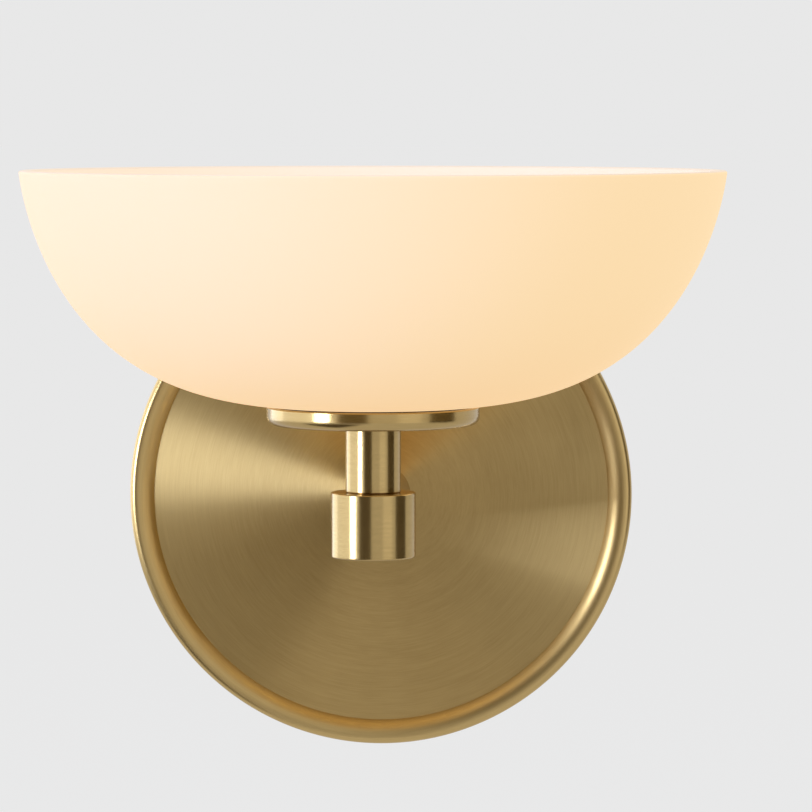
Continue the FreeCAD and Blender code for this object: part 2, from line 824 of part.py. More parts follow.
os.makedirs("parts", exist_ok=True)
for node, shape in pieces.items():
    shape.exportStep("parts/" + node + ".step")
print(len(pieces), "pieces, rim", round(rim_height, 2), "mm above the arm's axis")
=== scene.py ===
"""Finishes and studio for an uplighter wall sconce, laid out as an add-on."""

import math

import bpy
import numpy as np
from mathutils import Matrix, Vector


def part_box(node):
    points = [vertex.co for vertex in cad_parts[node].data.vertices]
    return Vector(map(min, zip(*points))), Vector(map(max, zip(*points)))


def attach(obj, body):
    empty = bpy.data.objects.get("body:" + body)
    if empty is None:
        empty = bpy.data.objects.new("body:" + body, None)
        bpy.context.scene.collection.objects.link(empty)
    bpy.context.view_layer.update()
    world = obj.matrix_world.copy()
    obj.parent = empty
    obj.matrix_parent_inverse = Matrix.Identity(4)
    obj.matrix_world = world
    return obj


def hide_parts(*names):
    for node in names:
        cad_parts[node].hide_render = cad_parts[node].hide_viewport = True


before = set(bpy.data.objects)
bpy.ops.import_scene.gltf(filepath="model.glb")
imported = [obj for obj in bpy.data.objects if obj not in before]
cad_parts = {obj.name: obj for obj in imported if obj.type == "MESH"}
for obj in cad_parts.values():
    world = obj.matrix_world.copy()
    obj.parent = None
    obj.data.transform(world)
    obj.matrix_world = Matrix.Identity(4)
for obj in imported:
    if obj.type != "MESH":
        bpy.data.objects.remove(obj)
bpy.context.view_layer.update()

bl_info = {
    "name": "Uplighter Wall Sconce",
    "version": (1, 0, 0),
    "blender": (4, 5, 0),
    "location": "3D View > Sidebar > Sconce",
    "description": "Opal bowl, brushed brass and fittings of a wall uplighter",
    "category": "Object",
}

MM = 0.001
GLASS_LOW, GLASS_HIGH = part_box("glass_shade")
BOWL_AXIS = ((GLASS_LOW[0] + GLASS_HIGH[0]) / 2, (GLASS_LOW[1] + GLASS_HIGH[1]) / 2)
LAMP_AIM = np.array([BOWL_AXIS[0], BOWL_AXIS[1] * 0.7, 0.0])  # on the arm, under the bowl's rear
THREAD_DEPTH = 0.55     # depth of a screw thread, in pitches
AXIS_GAP = 0.02 * MM    # radius left open on the axis where a turned form closes


# ---- settings a user would change -------------------------------------------------------------

class SconceBowl(bpy.types.PropertyGroup):
    """Form of the glass bowl."""

    wall: bpy.props.FloatProperty(
        name="Wall", description="Thickness of the glass", default=3.0 * MM, unit="LENGTH")
    lean: bpy.props.FloatProperty(
        name="Lean", description="How far the form's own top lies above the rim",
        default=7.3 * MM, unit="LENGTH")
    depth: bpy.props.FloatProperty(
        name="Depth", description="Rim to the bottom of the full form",
        default=55.7 * MM, unit="LENGTH")
    side_power: bpy.props.FloatProperty(
        name="Side power", description="Roundness of the side", default=3.23)
    foot_power: bpy.props.FloatProperty(
        name="Foot power", description="Roundness of the foot", default=1.806)
    seat: bpy.props.FloatProperty(
        name="Seat", description="Radius of the ground flat seat", default=25.0 * MM,
        unit="LENGTH")
    lip: bpy.props.FloatProperty(
        name="Lip", description="Rounding of the rim's two edges", default=0.6 * MM,
        unit="LENGTH")
    hole: bpy.props.FloatProperty(
        name="Hole", description="Radius of the hole in the foot", default=14.6 * MM,
        unit="LENGTH")


class SconcePlate(bpy.types.PropertyGroup):
    """Round back plate with a flat field inside a rounded bead."""

    bead: bpy.props.FloatProperty(
        name="Bead", description="Width of the bead", default=6.05 * MM, unit="LENGTH")
    outer_round: bpy.props.FloatProperty(
        name="Outer round", description="Rounding of the plate's outer edge",
        default=1.6 * MM, unit="LENGTH")
    recess: bpy.props.FloatProperty(
        name="Recess", description="Crown of the bead above the field", default=2.1 * MM,
        unit="LENGTH")
    wall: bpy.props.FloatProperty(
        name="Plate wall", description="Thickness of the plate", default=1.2 * MM, unit="LENGTH")
    pipe_hole: bpy.props.FloatProperty(
        name="Pipe hole", description="Radius of the hole for the arm's pipe",
        default=5.05 * MM, unit="LENGTH")
    screw_hole: bpy.props.FloatProperty(
        name="Screw hole", description="Radius of the two holes in the side wall",
        default=2.05 * MM, unit="LENGTH")
    screw_place: bpy.props.FloatProperty(
        name="Screw place", description="Wall to the middle of the side screws",
        default=7.0 * MM, unit="LENGTH")


class SconceThreads(bpy.types.PropertyGroup):
    """Threads of the lamp pipes and of the sleeve in the cup, and the caps' ribs."""

    pipe_pitch: bpy.props.FloatProperty(
        name="Pipe pitch", description="Rise of the lamp pipes' thread in one turn",
        default=1.0 * MM, unit="LENGTH")
    pipe_wall: bpy.props.FloatProperty(
        name="Pipe wall", description="Thickness of the lamp pipes", default=1.5 * MM,
        unit="LENGTH")
    sleeve_pitch: bpy.props.FloatProperty(
        name="Sleeve pitch", description="Rise of the ring nut's thread in one turn",
        default=1.5 * MM, unit="LENGTH")
    sleeve_wall: bpy.props.FloatProperty(
        name="Sleeve wall", description="Thickness of the sleeve in the cup", default=1.5 * MM,
        unit="LENGTH")
    foot_spread: bpy.props.FloatProperty(
        name="Foot spread", description="How far the sleeve's foot spreads", default=2.5 * MM,
        unit="LENGTH")
    foot_height: bpy.props.FloatProperty(
        name="Foot height", description="Thickness of the sleeve's foot", default=1.2 * MM,
        unit="LENGTH")
    cap_ribs: bpy.props.IntProperty(
        name="Cap ribs", description="Ribs round a twist-on cap", default=14)
    cap_rib_depth: bpy.props.FloatProperty(
        name="Rib depth", description="Depth of the grooves between the ribs",
        default=0.35 * MM, unit="LENGTH")
    cap_bore: bpy.props.FloatProperty(
        name="Cap bore", description="Radius of a cap's mouth", default=2.5 * MM,
        unit="LENGTH")
    cap_tip: bpy.props.FloatProperty(
        name="Cap tip", description="Radius of a cap's closed end", default=3.4 * MM,
        unit="LENGTH")
    cap_hole: bpy.props.FloatProperty(
        name="Cap hole", description="Radius of the bore round the bare wire", default=0.95 * MM,
        unit="LENGTH")


class SconceFinish(bpy.types.PropertyGroup):
    """Colours of the finishes, and of the glow painted on the glass as emission in place of the
    lamp's light through it.
    """

    brass: bpy.props.FloatVectorProperty(
        name="Brass", description="Satin brass", subtype="COLOR", default=(0.47, 0.335, 0.142))
    brass_deep: bpy.props.FloatVectorProperty(
        name="Deep brass", description="Brass in the brush marks", subtype="COLOR",
        default=(0.40, 0.280, 0.112))
    glass: bpy.props.FloatVectorProperty(
        name="Glass", description="Opal glass by daylight", subtype="COLOR",
        default=(0.46, 0.46, 0.47))
    glow: bpy.props.FloatVectorProperty(
        name="Glow", description="Light through the side of the glass", subtype="COLOR",
        default=(0.88, 0.635, 0.332))
    glow_inside: bpy.props.FloatVectorProperty(
        name="Glow inside", description="Light on the inner wall of the glass", subtype="COLOR",
        default=(0.72, 0.56, 0.40))
    glow_foot: bpy.props.FloatVectorProperty(
        name="Glow at the foot", description="Light through the foot of the glass",
        subtype="COLOR", default=(0.84, 0.55, 0.255))


class SconceStudio(bpy.types.PropertyGroup):
    """Camera, lamps and background."""

    eye: bpy.props.FloatVectorProperty(
        name="Camera", description="Place of the camera", subtype="TRANSLATION",
        default=(24.3 * MM, -1161.9 * MM, 97.6 * MM))
    look_down: bpy.props.FloatProperty(
        name="Look down", description="Tilt of the camera below level", subtype="ANGLE",
        default=math.radians(3.756))
    look_left: bpy.props.FloatProperty(
        name="Look left", description="Turn of the camera to the left", subtype="ANGLE",
        default=math.radians(0.896))
    lens: bpy.props.FloatProperty(
        name="Lens", description="Focal length in millimetres on a 36 mm sensor",
        default=201.3, unit="CAMERA")
    pale: bpy.props.FloatProperty(
        name="Background", description="Brightness of the plain background", default=0.806)
    fill: bpy.props.FloatProperty(
        name="Fill", description="Brightness of the soft light from all round", default=0.26)
    cool: bpy.props.FloatVectorProperty(
        name="Left light", description="Colour of the lamps that the brass shows on its left",
        subtype="COLOR", default=(0.88, 1.0, 1.30), max=2.0)
    sky: bpy.props.FloatVectorProperty(
        name="Soft light", description="Colour of the soft light on the bowl", subtype="COLOR",
        default=(0.80, 1.0, 1.70), max=2.0)
    under_glow: bpy.props.FloatProperty(
        name="Glow below", description="Brightness of the bowl's glow in the brass under it",
        default=0.6)
    floor_drop: bpy.props.FloatProperty(
        name="Floor", description="Floor below the middle of the plate", default=0.25,
        unit="LENGTH")


# ---- meshes -----------------------------------------------------------------------------------


def add_grid(name, points, body, node, *materials):
    """Make a smooth mesh of a grid of points that closes on itself both ways. It stands for a
    CAD node, which it hides, and rides on a body."""
    mesh = bpy.data.meshes.new(name)
    mesh.from_pydata(points.reshape(-1, 3).tolist(), [], ring_faces(*points.shape[:2]).tolist())
    mesh.polygons.foreach_set("use_smooth", np.ones(len(mesh.polygons), dtype=bool))
    mesh.update()
    for material in materials:
        mesh.materials.append(material)
    piece = bpy.data.objects.new(name, mesh)
    bpy.context.scene.collection.objects.link(piece)
    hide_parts(node)
    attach(piece, body)
    return piece


def turned_points(profile, segments, axis_x, axis_y):
    """Points (radius * cos t, radius * sin t, height) of a closed profile turned about an
    upright axis, as an array of profile by segment."""
    turn = np.linspace(0, 2 * np.pi, segments, endpoint=False)
    radius, height = profile[:, 0, None], profile[:, 1, None]
    x = axis_x + radius * np.cos(turn)
    y = axis_y + radius * np.sin(turn)
    return np.stack([x, y, np.broadcast_to(height, x.shape)], axis=-1)


def ring_faces(rows, columns):
    """Quads of a grid that closes on itself both ways, wound to face outwards when the profile
    runs anticlockwise in (radius, height)."""
    row, column = np.meshgrid(np.arange(rows), np.arange(columns), indexing="ij")
    next_row, next_column = (row + 1) % rows, (column + 1) % columns
    quads = np.stack([row * columns + column, row * columns + next_column,
                      next_row * columns + next_column, next_row * columns + column], axis=-1)
    return quads.reshape(-1, 4)


def along_arm(points):
    """Turn upright points so that their height runs out of the wall, along -Y."""
    x, y, z = points[..., 0], points[..., 1], points[..., 2]
    return np.stack([x, -z, y], axis=-1)


def screw_radius(height, turn, crest, pitch):
    """Radius of a screw thread: crest less the thread's depth times a triangle wave of
    height / pitch - turn / (2 pi)."""
    wave = np.abs(2 * ((height / pitch - turn / (2 * np.pi)) % 1) - 1)
    return crest - THREAD_DEPTH * pitch * wave


def threaded_points(low, high, crest, bore, pitch, segments=48):
    """Closed tube with a screw thread outside, both ends chamfered by the thread's depth: the
    outer rows rise from low to high, and the bore is the last two rows."""
    rows_in_a_turn = 5
    rows = int((high - low) / pitch * rows_in_a_turn) + 1
    height = np.linspace(low, high, rows)[:, None]
    turn = np.linspace(0, 2 * np.pi, segments, endpoint=False)[None, :]
    chamfer = crest - THREAD_DEPTH * pitch + np.minimum(height - low, high - height)
    radius = np.minimum(screw_radius(height, turn, crest, pitch), chamfer)
    radius = np.concatenate([radius, np.full((2, segments), bore)])
    height = np.concatenate([height, [[high], [low]]]) + 0 * turn
    return np.stack([radius * np.cos(turn), radius * np.sin(turn), height], axis=-1)


# ---- shader nodes -----------------------------------------------------------------------------

class Nodes:
    """Short way to add and link nodes in a tree."""

    def __init__(self, tree):
        self.tree = tree

    def add(self, kind, inputs=None, **settings):
        """Add a node, set its attributes, and set or link its inputs."""
        node = self.tree.nodes.new(kind)
        for key, value in settings.items():
            setattr(node, key, value)
        for key, value in (inputs or {}).items():
            if isinstance(value, bpy.types.NodeSocket):
                self.tree.links.new(value, node.inputs[key])
            else:
                node.inputs[key].default_value = value
        return node

    def maths(self, operation, first, second=0.0):
        """One step of arithmetic."""
        return self.add("ShaderNodeMath", {0: first, 1: second}, operation=operation).outputs[0]

    def mix(self, share, low, high):
        """Blend of two colours."""
        node = self.add("ShaderNodeMix", {"Factor": share}, data_type="RGBA")
        for socket, value in (("A_Color", low), ("B_Color", high)):
            target = next(s for s in node.inputs if s.identifier == socket)
            if isinstance(value, bpy.types.NodeSocket):
                self.tree.links.new(value, target)
            else:
                target.default_value = tuple(value)[:3] + (1.0,)
        return next(s for s in node.outputs if s.identifier == "Result_Color")

    def span(self, value, low, high, to_low=0.0, to_high=1.0):
        """Map a value from one range to another, clamped."""
        return self.add("ShaderNodeMapRange", {
            "Value": value, "From Min": low, "From Max": high,
            "To Min": to_low, "To Max": to_high}).outputs[0]


def brush_group():
    """Node group of turned brush marks: fine rings about Z, a slow mottle and a height.

    The noise has four dimensions: radius and height at a fine pitch, and the cosine and sine of
    the way round at a coarse one, so each mark is a long thin arc and nothing has a seam."""
    group = bpy.data.node_groups.new("turned brush marks", "ShaderNodeTree")
    for name, default in (("Fineness", 4000.0), ("Length", 6.0), ("Mottle", 60.0)):
        socket = group.interface.new_socket(name, in_out="INPUT", socket_type="NodeSocketFloat")
        socket.default_value = default
    group.interface.new_socket("Vector", in_out="INPUT", socket_type="NodeSocketVector")
    for name in ("Marks", "Bands", "Mottle"):
        group.interface.new_socket(name, in_out="OUTPUT", socket_type="NodeSocketFloat")
    nodes = Nodes(group)
    source = nodes.add("NodeGroupInput").outputs
    parts = nodes.add("ShaderNodeSeparateXYZ", {0: source["Vector"]}).outputs
    across = nodes.add("ShaderNodeCombineXYZ", {0: parts[0], 1: parts[1]}).outputs[0]
    radius = nodes.add("ShaderNodeVectorMath", {0: across}, operation="LENGTH").outputs["Value"]
    way = nodes.add("ShaderNodeVectorMath", {0: across}, operation="NORMALIZE").outputs[0]
    way = nodes.add("ShaderNodeSeparateXYZ", {0: way}).outputs
    outputs = {}
    for name, pitch, reach, detail in (("Marks", 1.0, 1.0, 3.0), ("Bands", 0.35, 0.15, 1.0)):
        fineness = nodes.maths("MULTIPLY", source["Fineness"], pitch)
        length = nodes.maths("MULTIPLY", source["Length"], reach)
        place = nodes.add("ShaderNodeCombineXYZ", {
            0: nodes.maths("MULTIPLY", radius, fineness),
            1: nodes.maths("MULTIPLY", way[0], length),
            2: nodes.maths("MULTIPLY", way[1], length)}).outputs[0]
        outputs[name] = nodes.add("ShaderNodeTexNoise", {
            "Vector": place, "W": nodes.maths("MULTIPLY", parts[2], fineness), "Scale": 1.0,
            "Detail": detail, "Roughness": 0.6}, noise_dimensions="4D").outputs["Fac"]
    mottle = nodes.add("ShaderNodeTexNoise", {"Vector": source["Vector"],
                                              "Scale": source["Mottle"],
                                              "Detail": 4.0}).outputs["Fac"]
    nodes.add("NodeGroupOutput", {**outputs, "Mottle": mottle})


def grain_group():
    """Node group of a plain fine grain: a speckle and a slow cloud, for moulded and cast stuff."""
    group = bpy.data.node_groups.new("fine grain", "ShaderNodeTree")
    for name, default in (("Speckle size", 2500.0), ("Cloud size", 120.0)):
        socket = group.interface.new_socket(name, in_out="INPUT", socket_type="NodeSocketFloat")
        socket.default_value = default
    group.interface.new_socket("Vector", in_out="INPUT", socket_type="NodeSocketVector")
    for name in ("Speckle", "Cloud"):
        group.interface.new_socket(name, in_out="OUTPUT", socket_type="NodeSocketFloat")
    nodes = Nodes(group)
    source = nodes.add("NodeGroupInput").outputs
    speckle = nodes.add("ShaderNodeTexNoise", {
        "Vector": source["Vector"], "Scale": source["Speckle size"], "Detail": 2.0}).outputs["Fac"]
    cloud = nodes.add("ShaderNodeTexNoise", {
        "Vector": source["Vector"], "Scale": source["Cloud size"], "Detail": 3.0}).outputs["Fac"]
    nodes.add("NodeGroupOutput", {"Speckle": speckle, "Cloud": cloud})


def new_material(name):
    """Empty material: its Nodes helper and its Principled shader."""
    material = bpy.data.materials.new(name)
    material.use_nodes = True
    nodes = Nodes(material.node_tree)
    shader = next(n for n in material.node_tree.nodes if n.type == "BSDF_PRINCIPLED")
    return material, nodes, shader


def link(nodes, shader, **sockets):
    """Link outputs to the shader's inputs, underscores standing for spaces."""
    for name, socket in sockets.items():
        nodes.tree.links.new(socket, shader.inputs[name.replace("_", " ")])


def turned_place(nodes, middle, lying):
    """Object coordinates centred on a turned piece, its axis brought to Z where it lies
    along Y."""
    coordinates = nodes.add("ShaderNodeTexCoord").outputs["Object"]
    moved = nodes.add("ShaderNodeVectorMath", {0: coordinates, 1: middle},
                      operation="SUBTRACT").outputs[0]
    turn = (math.radians(90), 0, 0) if lying else (0, 0, 0)
    return nodes.add("ShaderNodeMapping", {"Vector": moved, "Rotation": turn}).outputs[0]


def brushed_metal(name, light, deep, middle, lying=False, fineness=4000.0, length=6.0,
                  roughness=0.27, spread=0.10, bite=0.25, aniso=0.6, shade=1.0):
    """Metal brushed in rings about an axis: marks drive colour, roughness and a fine bump."""
    material, nodes, shader = new_material(name)
    place = turned_place(nodes, middle, lying)
    marks = nodes.add("ShaderNodeGroup", {}, node_tree=bpy.data.node_groups["turned brush marks"])
    marks.inputs["Fineness"].default_value = fineness
    marks.inputs["Length"].default_value = length
    nodes.tree.links.new(place, marks.inputs["Vector"])
    streak = nodes.span(marks.outputs["Marks"], 0.3, 0.7)
    slow = nodes.span(marks.outputs["Bands"], 0.35, 0.65)
    cloud = nodes.span(marks.outputs["Mottle"], 0.3, 0.7)
    share = nodes.maths("ADD", nodes.maths("MULTIPLY", streak, 0.55),
                        nodes.maths("ADD", nodes.maths("MULTIPLY", slow, 0.2),
                                    nodes.maths("MULTIPLY", cloud, 0.25)))
    colour = nodes.mix(share, [c * shade for c in deep], [c * shade for c in light])
    rough = nodes.span(share, 0.0, 1.0, roughness + spread / 2, roughness - spread / 2)
    height = nodes.maths("ADD", nodes.maths("MULTIPLY", streak, 0.7),
                         nodes.maths("MULTIPLY", slow, 0.3))
    bump = nodes.add("ShaderNodeBump", {"Height": height, "Strength": bite,
                                        "Distance": 0.02 * MM}).outputs[0]
    tangent = nodes.add("ShaderNodeTangent", direction_type="RADIAL",
                        axis="Y" if lying else "Z").outputs[0]
    shader.inputs["Metallic"].default_value = 1.0
    shader.inputs["Anisotropic"].default_value = aniso
    shader.inputs["Anisotropic Rotation"].default_value = 0.25
    link(nodes, shader, Base_Color=colour, Roughness=rough, Normal=bump, Tangent=tangent)
    return material


def plain_stuff(name, colour, darker=0.8, metallic=0.0, roughness=0.5, spread=0.15, bite=0.2,
                speckle=2500.0, cloud=120.0, coat=0.0):
    """Moulded, cast or plated stuff: a cloud and a speckle vary colour, roughness and bump."""
    material, nodes, shader = new_material(name)
    coordinates = nodes.add("ShaderNodeTexCoord").outputs["Object"]
    grain = nodes.add("ShaderNodeGroup", {}, node_tree=bpy.data.node_groups["fine grain"])
    grain.inputs["Speckle size"].default_value = speckle
    grain.inputs["Cloud size"].default_value = cloud
    nodes.tree.links.new(coordinates, grain.inputs["Vector"])
    soft = nodes.span(grain.outputs["Cloud"], 0.35, 0.65)
    shaded = nodes.mix(soft, [c * darker for c in colour], colour)
    rough = nodes.span(grain.outputs["Speckle"], 0.3, 0.7, roughness - spread / 2,
                       roughness + spread / 2)
    bump = nodes.add("ShaderNodeBump", {"Height": grain.outputs["Speckle"], "Strength": bite,
                                        "Distance": 0.03 * MM}).outputs[0]
    shader.inputs["Metallic"].default_value = metallic
    shader.inputs["Coat Weight"].default_value = coat
    link(nodes, shader, Base_Color=shaded, Roughness=rough, Normal=bump)
    return material


def facing_in(nodes, coordinates):
    """1 on the inner wall of a bowl and 0 on its outer wall, from the dot product of the normal
    with (way out from the bowl's axis, and down)."""
    apart = nodes.add("ShaderNodeVectorMath", {0: coordinates, 1: (*BOWL_AXIS, 0.0)},
                      operation="SUBTRACT").outputs[0]
    flat = nodes.add("ShaderNodeVectorMath", {0: apart, 1: (1, 1, 0)},
                     operation="MULTIPLY").outputs[0]
    out = nodes.add("ShaderNodeVectorMath", {0: flat}, operation="NORMALIZE").outputs[0]
    way = nodes.add("ShaderNodeVectorMath", {0: out, 1: (0, 0, 1)},
                    operation="SUBTRACT").outputs[0]
    normal = nodes.add("ShaderNodeNewGeometry").outputs["Normal"]
    dot = nodes.add("ShaderNodeVectorMath", {0: normal, 1: way},
                    operation="DOT_PRODUCT").outputs["Value"]
    return nodes.span(dot, 0.15, -0.15)


def opal_glass(finish, rim, foot):
    """Satin opal glass with painted glow: emission stands in for the lamp's light through the
    glass, warmer towards the foot, and a faint ripple and cloud keep the blown surface from looking
    moulded."""
    material, nodes, shader = new_material("opal glass")
    coordinates = nodes.add("ShaderNodeTexCoord").outputs["Object"]
    height = nodes.add("ShaderNodeSeparateXYZ", {0: coordinates}).outputs[2]
    cloud = nodes.add("ShaderNodeTexNoise", {"Vector": coordinates, "Scale": 14.0,
                                             "Detail": 2.0}).outputs["Fac"]
    down = nodes.span(height, rim, foot)
    down = nodes.maths("ADD", down, nodes.span(cloud, 0.3, 0.7, -0.03, 0.03))
    curve = nodes.maths("POWER", nodes.maths("MAXIMUM", down, 0.0), 3.2)
    # painted light: the glass glows as if lit by the lamp inside, warmer towards the foot
    glow = nodes.mix(curve, finish.glow, finish.glow_foot)
    # painted light of the lamp on the inner wall: a paler glow where the lamp shines on it
    glow = nodes.mix(facing_in(nodes, coordinates), glow, finish.glow_inside)
    ripple = nodes.add("ShaderNodeTexNoise", {"Vector": coordinates, "Scale": 45.0,
                                              "Detail": 1.0}).outputs["Fac"]
    bump = nodes.add("ShaderNodeBump", {"Height": ripple, "Strength": 0.15,
                                        "Distance": 0.3 * MM}).outputs[0]
    rough = nodes.span(cloud, 0.3, 0.7, 0.66, 0.74)
    body = nodes.mix(cloud, [c * 0.97 for c in finish.glass], finish.glass)
    shader.inputs["Emission Strength"].default_value = 1.0
    shader.inputs["Specular IOR Level"].default_value = 0.15
    link(nodes, shader, Base_Color=body, Emission_Color=glow, Roughness=rough, Normal=bump)
    return material


def frosted_lamp():
    """Frosted capsule of the lamp, alight."""
    material, nodes, shader = new_material("frosted lamp")
    coordinates = nodes.add("ShaderNodeTexCoord").outputs["Object"]
    height = nodes.add("ShaderNodeSeparateXYZ", {0: coordinates}).outputs[2]
    low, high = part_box("lamp_bulb")
    along = nodes.span(height, low[2], high[2])
    cloud = nodes.add("ShaderNodeTexNoise", {"Vector": coordinates, "Scale": 300.0}).outputs[0]
    glow = nodes.mix(along, (1.0, 0.80, 0.56), (1.0, 0.90, 0.76))
    rough = nodes.span(cloud, 0.3, 0.7, 0.4, 0.55)
    shader.inputs["Base Color"].default_value = (0.95, 0.93, 0.9, 1)
    shader.inputs["Emission Strength"].default_value = 2.2
    link(nodes, shader, Emission_Color=glow, Roughness=rough)
    return material


# ---- operators --------------------------------------------------------------------------------

def node_middle(node):
    """Middle of a CAD node's box."""
    low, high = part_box(node)
    return tuple((a + b) / 2 for a, b in zip(low, high))


def finish_node(node, material):
    """Give a CAD node one material."""
    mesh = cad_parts[node].data
    mesh.materials.clear()
    mesh.materials.append(material)


class SCONCE_OT_groups(bpy.types.Operator):
    """Build the shader groups that several finishes share"""

    bl_idname = "sconce.groups"
    bl_label = "Shared Shader Groups"

    def execute(self, context):
        brush_group()
        grain_group()
        return {"FINISHED"}


class SCONCE_OT_bowl(bpy.types.Operator):
    """Make the opal glass bowl"""

    bl_idname = "sconce.bowl"
    bl_label = "Glass Bowl"

    def execute(self, context):
        bowl = context.scene.sconce_bowl
        points = turned_points(bowl_profile(bowl), 256, *BOWL_AXIS)
        material = opal_glass(context.scene.sconce_finish, GLASS_HIGH[2], GLASS_LOW[2])
        add_grid("opal_bowl", points, "shade", "glass_shade", material)
        return {"FINISHED"}


def quarter(centre, radius, start):
    """Points of a quarter circle that runs anticlockwise from an angle."""
    turn = start + np.linspace(0, np.pi / 2, 8)
    return centre + radius * np.stack([np.cos(turn), np.sin(turn)], axis=1)


def bowl_profile(bowl):
    """Closed (radius, height) profile of the bowl: out along the seat, up the outside, over the
    rim and down the inside.

    Outside radius at a depth d below the rim: R * f(d) / f(lip), with
    f(d) = (1 - ((d + lean) / (depth + lean)) ** foot) ** (1 / side). The inside lies one wall
    along the normal. Rim and seat are ground flat, and the rim's edges are quarter circles."""
    rim = GLASS_HIGH[2]
    widest = (GLASS_HIGH[0] - GLASS_LOW[0]) / 2
    whole = bowl.depth + bowl.lean

    def form(depth):
        return (1 - ((depth + bowl.lean) / whole) ** bowl.foot_power) ** (1 / bowl.side_power)

    def wall(start, end, inset):
        depth = start + (end - start) * np.sin(np.linspace(0, np.pi / 2, 72))
        radius = widest * form(depth) / form(bowl.lip)
        slope = np.gradient(radius, depth)
        length = np.hypot(slope, 1)
        return np.stack([radius - inset / length, rim - depth - inset * slope / length], axis=1)

    share = (bowl.seat / widest * form(bowl.lip)) ** bowl.side_power
    seat_depth = whole * (1 - share) ** (1 / bowl.foot_power) - bowl.lean
    outside = wall(bowl.lip, seat_depth, 0.0)
    inside = wall(bowl.lip, seat_depth, bowl.wall)
    floor = rim - seat_depth + bowl.wall
    above_floor = floor + 0.1 * MM
    inside = inside[(inside[:, 1] < rim - bowl.lip) & (inside[:, 1] > above_floor)]
    top = np.array([inside[0, 0], rim - bowl.lip])
    outer_edge = quarter(outside[0] - (bowl.lip, 0), bowl.lip, 0.0)
    inner_edge = quarter(top + (bowl.lip, 0), bowl.lip, np.pi / 2)
    seat_edge, floor_edge = bowl.seat - 0.2 * MM, inside[-1, 0] - 0.4 * MM
    flat = np.linspace(bowl.hole, seat_edge, 5)
    seat = np.stack([flat, np.full_like(flat, rim - seat_depth)], axis=1)
    last = np.linspace(floor_edge, bowl.hole, 5)
    bottom = np.stack([last, np.full_like(last, floor)], axis=1)
    return np.concatenate([seat, outside[:0:-1], outer_edge, inner_edge, inside[1:], bottom])


def plate_profile(plate):
    """Closed (radius, way out of the wall) profile of the plate: up its side, over the bead, in
    across the field, through the pipe's hole and back along the inside.

    The bead is a quarter circle outside. Inside it is an arc that is level at the crown and
    drops by the recess over its reach, so its radius is (reach^2 + recess^2) / (2 recess)."""
    low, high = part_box("back_plate")
    radius, depth = (high[0] - low[0]) / 2, high[1] - low[1]
    field = depth - plate.recess
    inside, side = field - plate.wall, radius - plate.wall
    bead_foot, face_edge = radius - plate.bead, radius - plate.bead - 0.3 * MM
    under_crown, corner = depth - plate.wall, 0.5 * MM
    crown = radius - plate.outer_round
    reach = plate.bead - plate.outer_round
    turn = np.linspace(0, np.pi / 2, 20)
    outer = np.stack([crown + plate.outer_round * np.cos(turn),
                      depth - plate.outer_round * (1 - np.sin(turn))], axis=1)
    bend = (reach ** 2 + plate.recess ** 2) / (2 * plate.recess)
    slope = np.linspace(0, math.asin(reach / bend), 24)
    inner = np.stack([crown - bend * np.sin(slope),
                      depth - bend * (1 - np.cos(slope))], axis=1)
    across = np.linspace(face_edge, plate.pipe_hole, 24)
    face = np.stack([across, np.full_like(across, field)], axis=1)
    back = [(plate.pipe_hole, inside), (bead_foot, inside), (crown - 1.2 * plate.wall, under_crown),
            (side - corner, under_crown), (side, under_crown - corner), (side, 0.0)]
    return np.concatenate([[(radius, 0.0)], outer, inner[1:], face, back])


def bored(piece, radius, height):
    """Cut two side holes through a turned plate with a boolean, then drop the cutter."""
    low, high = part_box("back_plate")
    far = high[0] - low[0]
    rod = turned_points(np.array([(AXIS_GAP, -far), (radius, -far), (radius, far),
                                  (AXIS_GAP, far)]), 40, 0.0, 0.0)
    rod = np.stack([rod[..., 2], -height + rod[..., 0], -rod[..., 1]], axis=-1)
    mesh = bpy.data.meshes.new("cutter")
    mesh.from_pydata(rod.reshape(-1, 3).tolist(), [], ring_faces(*rod.shape[:2]).tolist())
    cutter = bpy.data.objects.new("cutter", mesh)
    bpy.context.scene.collection.objects.link(cutter)
    cut = piece.modifiers.new("side holes", "BOOLEAN")
    cut.operation = "DIFFERENCE"
    cut.object = cutter
    cut.solver = "EXACT"
    bpy.context.view_layer.update()
    done = piece.evaluated_get(bpy.context.evaluated_depsgraph_get())
    finished = bpy.data.meshes.new_from_object(done)
    piece.modifiers.clear()
    piece.data = finished
    bpy.data.objects.remove(cutter)
    bpy.data.meshes.remove(mesh)
    finished.polygons.foreach_set("use_smooth", np.ones(len(finished.polygons), dtype=bool))
    finished.set_sharp_from_angle(angle=math.radians(32))


class SCONCE_OT_plate(bpy.types.Operator):
    """Spin the round back plate, roll its bead and bore its side holes"""

    bl_idname = "sconce.plate"
    bl_label = "Back Plate"

    def execute(self, context):
        finish = context.scene.sconce_finish
        plate = context.scene.sconce_plate
        brass = (tuple(finish.brass), tuple(finish.brass_deep), node_middle("back_plate"), True,
                 3600.0, 7.0)
        # shade=1.16 is painted light: a lighter copy of the brass that makes up for the darker
        # surroundings the plate's flat field reflects
        field = brushed_metal("plate brass", *brass, roughness=0.39, spread=0.08, aniso=1.0,
                              bite=0.12, shade=1.16)
        bead = brushed_metal("bead brass", *brass, roughness=0.312, spread=0.064, aniso=0.15,
                             bite=0.024, shade=1.16)
        profile = plate_profile(plate)
        points = along_arm(turned_points(profile, 256, 0.0, 0.0))
        piece = add_grid("beaded_plate", points, "fixture", "back_plate", field, bead)
        middle = (profile[:, 0] + np.roll(profile[:, 0], -1)) / 2
        rolled = np.repeat(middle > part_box("back_plate")[1][0] - plate.bead, points.shape[1])
        piece.data.polygons.foreach_set("material_index", rolled.astype(np.int32))
        bored(piece, plate.screw_hole, plate.screw_place)
        return {"FINISHED"}


